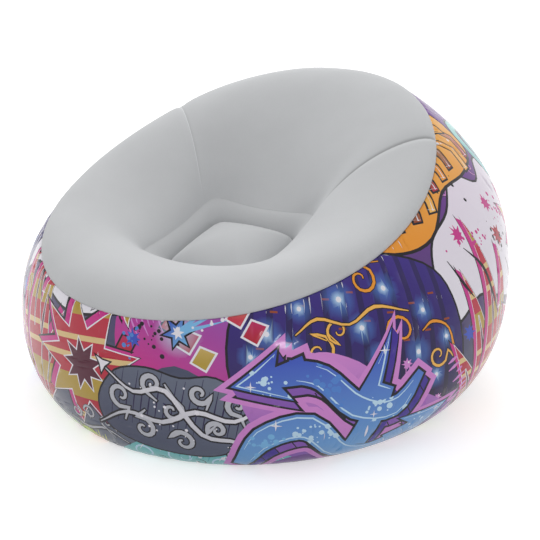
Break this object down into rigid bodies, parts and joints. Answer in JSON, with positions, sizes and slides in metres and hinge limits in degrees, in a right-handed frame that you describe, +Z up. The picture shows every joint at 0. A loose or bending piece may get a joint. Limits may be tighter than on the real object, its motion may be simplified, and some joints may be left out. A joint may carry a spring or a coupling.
{
  "type": "inflatable chair",
  "caption": "Round inflatable armchair: glossy printed side wall, flocked top with a slanted rim, bowl and square seat pillow, inner ties and an air valve low at the rear.",
  "frame": {"origin": "centre of the footprint's box, on the floor", "axes": "+Z up, the sitter faces -Y, +X to the right of a viewer who stands in front and looks along +Y"},
  "size_m": [1.1188, 1.117, 0.6571],
  "materials": {
    "printed_film": "glossy printed film",
    "flocked_film": "soft flocked film, light grey",
    "base_film": "plain grey film",
    "tie_film": "plain pale film",
    "valve_plastic": "soft moulded plastic",
    "flap_rubber": "matte"
  },
  "bodies": {
    "chair": {"printed_side_wall": "printed_film", "base_sheet": "base_film", "arm_and_front_panel": "flocked_film", "back_rest_panel": "flocked_film", "seat_panel": "flocked_film", "outer_tie_front": "tie_film", "outer_tie_back": "tie_film", "outer_tie_left": "tie_film", "outer_tie_right": "tie_film", "inner_tie_front": "tie_film", "inner_tie_back": "tie_film", "inner_tie_left": "tie_film", "inner_tie_right": "tie_film", "valve_base": "valve_plastic"},
    "valve_plug": {"valve_plug": "valve_plastic"},
    "filler_cap": {"filler_cap": "valve_plastic"},
    "check_flap": {"check_flap": "flap_rubber"}
  },
  "joints": [
    {"name": "plug_pull", "type": "slide", "parent": "chair", "child": "valve_plug", "axis": [-0.3668, 0.8653, -0.3417], "range_m": [0, 0.018]},
    {"name": "cap_swing", "type": "hinge", "parent": "valve_plug", "child": "filler_cap", "pos_m": [-0.22761, 0.48615, 0.15979], "axis": [0.9207, 0.3903, 0], "range_deg": [0, 160]},
    {"name": "flap_bend", "type": "hinge", "parent": "valve_plug", "child": "check_flap", "pos_m": [-0.22235, 0.47373, 0.15736], "axis": [-0.9207, -0.3903, 0], "range_deg": [0, 40], "stiffness_Nm_per_rad": 0.0001}
  ]
}
